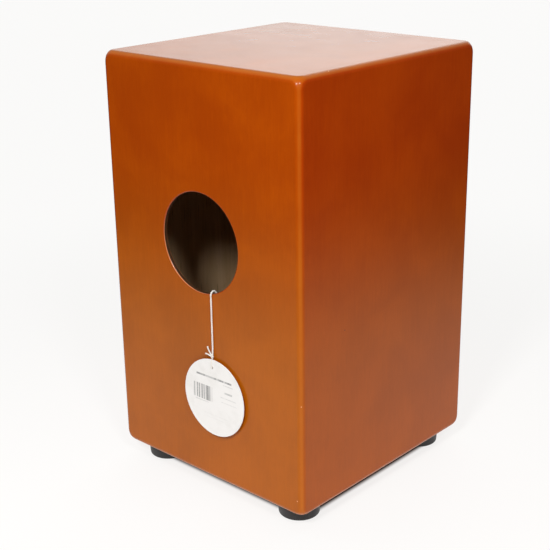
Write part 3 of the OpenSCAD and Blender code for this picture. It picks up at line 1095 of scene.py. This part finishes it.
CARD_LEAN = math.radians(1.2)
CARD_R = (CARD_HIGH.x - CARD_LOW.x) / 2
CARD_T = 0.5 * MM
CARD_HOLE = Vector((STRING_X - CARD_MIDDLE.x, CARD_R - 10 * MM))
CARD_HOLE_R = 1.5 * MM
CARD_CURL = 0.9 * MM
CARD_SWELL = 0.12 * MM
CARD_FRAME = Matrix.Translation(CARD_MIDDLE) @ Matrix.Rotation(-CARD_LEAN, 4, "X")


def card_point(u, v, back):
    """A point of the slightly curled card: u across, v up, back behind its printed face."""
    curl = CARD_CURL * (0.3 * u * u - 0.5 * u * v - 0.7 * u * CARD_R) / (CARD_R * CARD_R)
    return CARD_FRAME @ Vector((u, back - CARD_T / 2 - curl, v))


def make_card():
    """Rings from the punched hole out to the edge, over it, and back behind."""
    bm = bmesh.new()
    steps = 96
    spread = 14
    edge = CARD_T / 2
    sizes = [(i / spread, 0) for i in range(spread + 1)]
    sizes = sizes + [(1, edge)] + [(t, CARD_T) for t, _ in reversed(sizes)]
    rings = []
    for t, back in sizes:
        swell = CARD_SWELL if back == edge else 0
        radius = CARD_HOLE_R + (CARD_R - CARD_SWELL - CARD_HOLE_R) * t + swell
        middle = CARD_HOLE * (1 - t)
        flat = [(middle.x + p.x, middle.y + p.y) for p in circle(radius, 0, steps)]
        rings.append([bm.verts.new(card_point(u, v, back)) for u, v in flat])
    card = even_shading(to_object(bridge(bm, rings, closed=True), "tag_card_printed", [LOOKS["card"]]))
    return place_piece(card, ["tag_card"], "card")


def make_loop():
    """The thread that goes down in front of the card, through its hole and up behind it."""
    hole = card_point(*CARD_HOLE, CARD_T / 2)
    turn = 0.95 * MM
    top = KNOT - Z * 1.2 * MM
    low = [
        hole + turn * Vector((0, -math.cos(a), -math.sin(a))) + Z * 0.3 * MM
        for a in [math.radians(degrees) for degrees in range(0, 181, 30)]
    ]
    front = [top - Y * 0.5 * MM, hole + Vector((-0.3 * MM, -1.1 * turn, 5 * MM))]
    back = [hole + Vector((0.3 * MM, 1.1 * turn, 5 * MM)), top + Y * 0.5 * MM]
    path = smooth_path(front + low + back, 0.3 * MM)
    bm = sweep(bmesh.new(), path, two_ply(THREAD_D * 0.9), 12)
    loop = to_object(bm, "tag_loop_thread", [LOOKS["cotton"]])
    return place_piece(loop, ["tag_loop"], "card")


def make_staple():
    """A bent wire over the string's inner end, with its legs driven into the panel."""
    low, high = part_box("tag_staple")
    r = 0.45 * MM
    bend = 0.8 * MM
    z = (low.z + high.z) / 2
    left, right = low.x + r, high.x - r
    crown, tip = high.y - r, REAR_HIGH.y - 1.5 * MM
    points = [(left, tip), (left, crown - 2 * bend)]
    points += arc((left + bend, crown - bend), bend, 180, 90, 4)
    points += arc((right - bend, crown - bend), bend, 90, 0, 4)
    points += [(right, crown - 2 * bend), (right, tip)]
    path = [Vector((x, y, z)) for x, y in points]
    bm = sweep(bmesh.new(), path, lambda along, angle: r, 12)
    staple = to_object(bm, "tag_staple_wire", [LOOKS["zinc"]])
    return place_piece(staple, ["tag_staple"])


make_card()
make_loop()
make_staple()

# ---- the stage ----

# Half the width and depth of the floor under the box that doesn't glow, which leaves a painted shadow there
UNDER_BOX = Vector((BOX_HIGH.x - 25 * MM, BOX_HIGH.y - 30 * MM, 0))


def floor_white():
    """A white floor that glows a little, but not under the box, where the missing glow paints a shadow. Far
    off, only the camera sees it white.
    """
    look = Look("floor_white", Roughness=0.9, IOR=1.1)
    near = look.fade(look.vector("LENGTH", look.place), 0.35, 1.2, 1, 0)
    look.colour(look.mix(near, (0.04, 0.04, 0.04), (0.2, 0.198, 0.195)))
    outside = look.axes(look.vector("SUBTRACT", look.vector("ABSOLUTE", look.place), UNDER_BOX))
    # Painted shadow: the glow fades out under the box
    open_floor = look.fade(look.math("MAXIMUM", outside["X"], outside["Y"]), 0, 8 * MM)
    seen = look.node("ShaderNodeLightPath").outputs["Is Camera Ray"]
    far_glow = look.fade(seen, 0, 1, 0.02, 0.93)
    glow = look.node("ShaderNodeMix", {"Factor": near, "A": far_glow, "B": 0.8}).outputs["Result"]
    look.tree.links.new(look.math("MULTIPLY", glow, open_floor), look.shader.inputs["Emission Strength"])
    look.shader.inputs["Emission Color"].default_value = (1, 0.995, 0.985, 1)
    return look.material


def make_floor():
    bm = bmesh.new()
    reach = 8
    corners = [(-reach, -reach), (reach, -reach), (reach, reach), (-reach, reach)]
    bm.faces.new([bm.verts.new((x, y, 0)) for x, y in corners])
    to_object(bm, "floor", [floor_white()])


ROOM_LIGHT = 0.1
# Bright parts: azimuth, elevation, degrees from there where they have faded and are full, and brightness
ROOM_GLOWS = [(207, 15, 34, 12, 1.15), (230, 45, 75, 35, 0.5)]
SEEN_WHITE = 0.98


def make_world():
    """A dim room with some bright parts. The camera itself sees it evenly white."""
    world = bpy.data.worlds.new("studio")
    bpy.context.scene.world = world
    world.use_nodes = True
    nodes = Nodes(world.node_tree)
    background = nodes.tree.nodes["Background"]
    background.inputs["Color"].default_value = (1, 0.99, 0.98, 1)
    place = nodes.node("ShaderNodeTexCoord").outputs["Generated"]
    total = ROOM_LIGHT
    for azimuth, elevation, *angles, power in ROOM_GLOWS:
        towards = nodes.vector("DOT_PRODUCT", place, direction(azimuth, elevation))
        outer, inner = [math.cos(math.radians(angle)) for angle in angles]
        total = nodes.math("ADD", nodes.fade(towards, outer, inner, 0, power), total)
    seen = nodes.node("ShaderNodeLightPath").outputs["Is Camera Ray"]
    strength = nodes.node("ShaderNodeMix", {"Factor": seen, "A": total, "B": SEEN_WHITE})
    nodes.tree.links.new(strength.outputs["Result"], background.inputs["Strength"])


LIGHT_SIZE = 0.28
LIGHT_DISTANCE = 1.7


def softbox(name, azimuth, elevation, power):
    """A square light that shines on the box's middle."""
    data = bpy.data.lights.new(name, "AREA")
    data.size = LIGHT_SIZE
    data.energy = power
    light = bpy.data.objects.new(name, data)
    bpy.context.scene.collection.objects.link(light)
    back = direction(azimuth, elevation)
    light.location = BOX_MIDDLE + back * LIGHT_DISTANCE
    light.rotation_mode = "QUATERNION"
    light.rotation_quaternion = back.to_track_quat("Z", "Y")


make_floor()
make_world()
softbox("key_light", 23.5, 35, 17.65)
softbox("side_light", 56, 38, 9.15)
bpy.context.scene.view_settings.view_transform = "Standard"
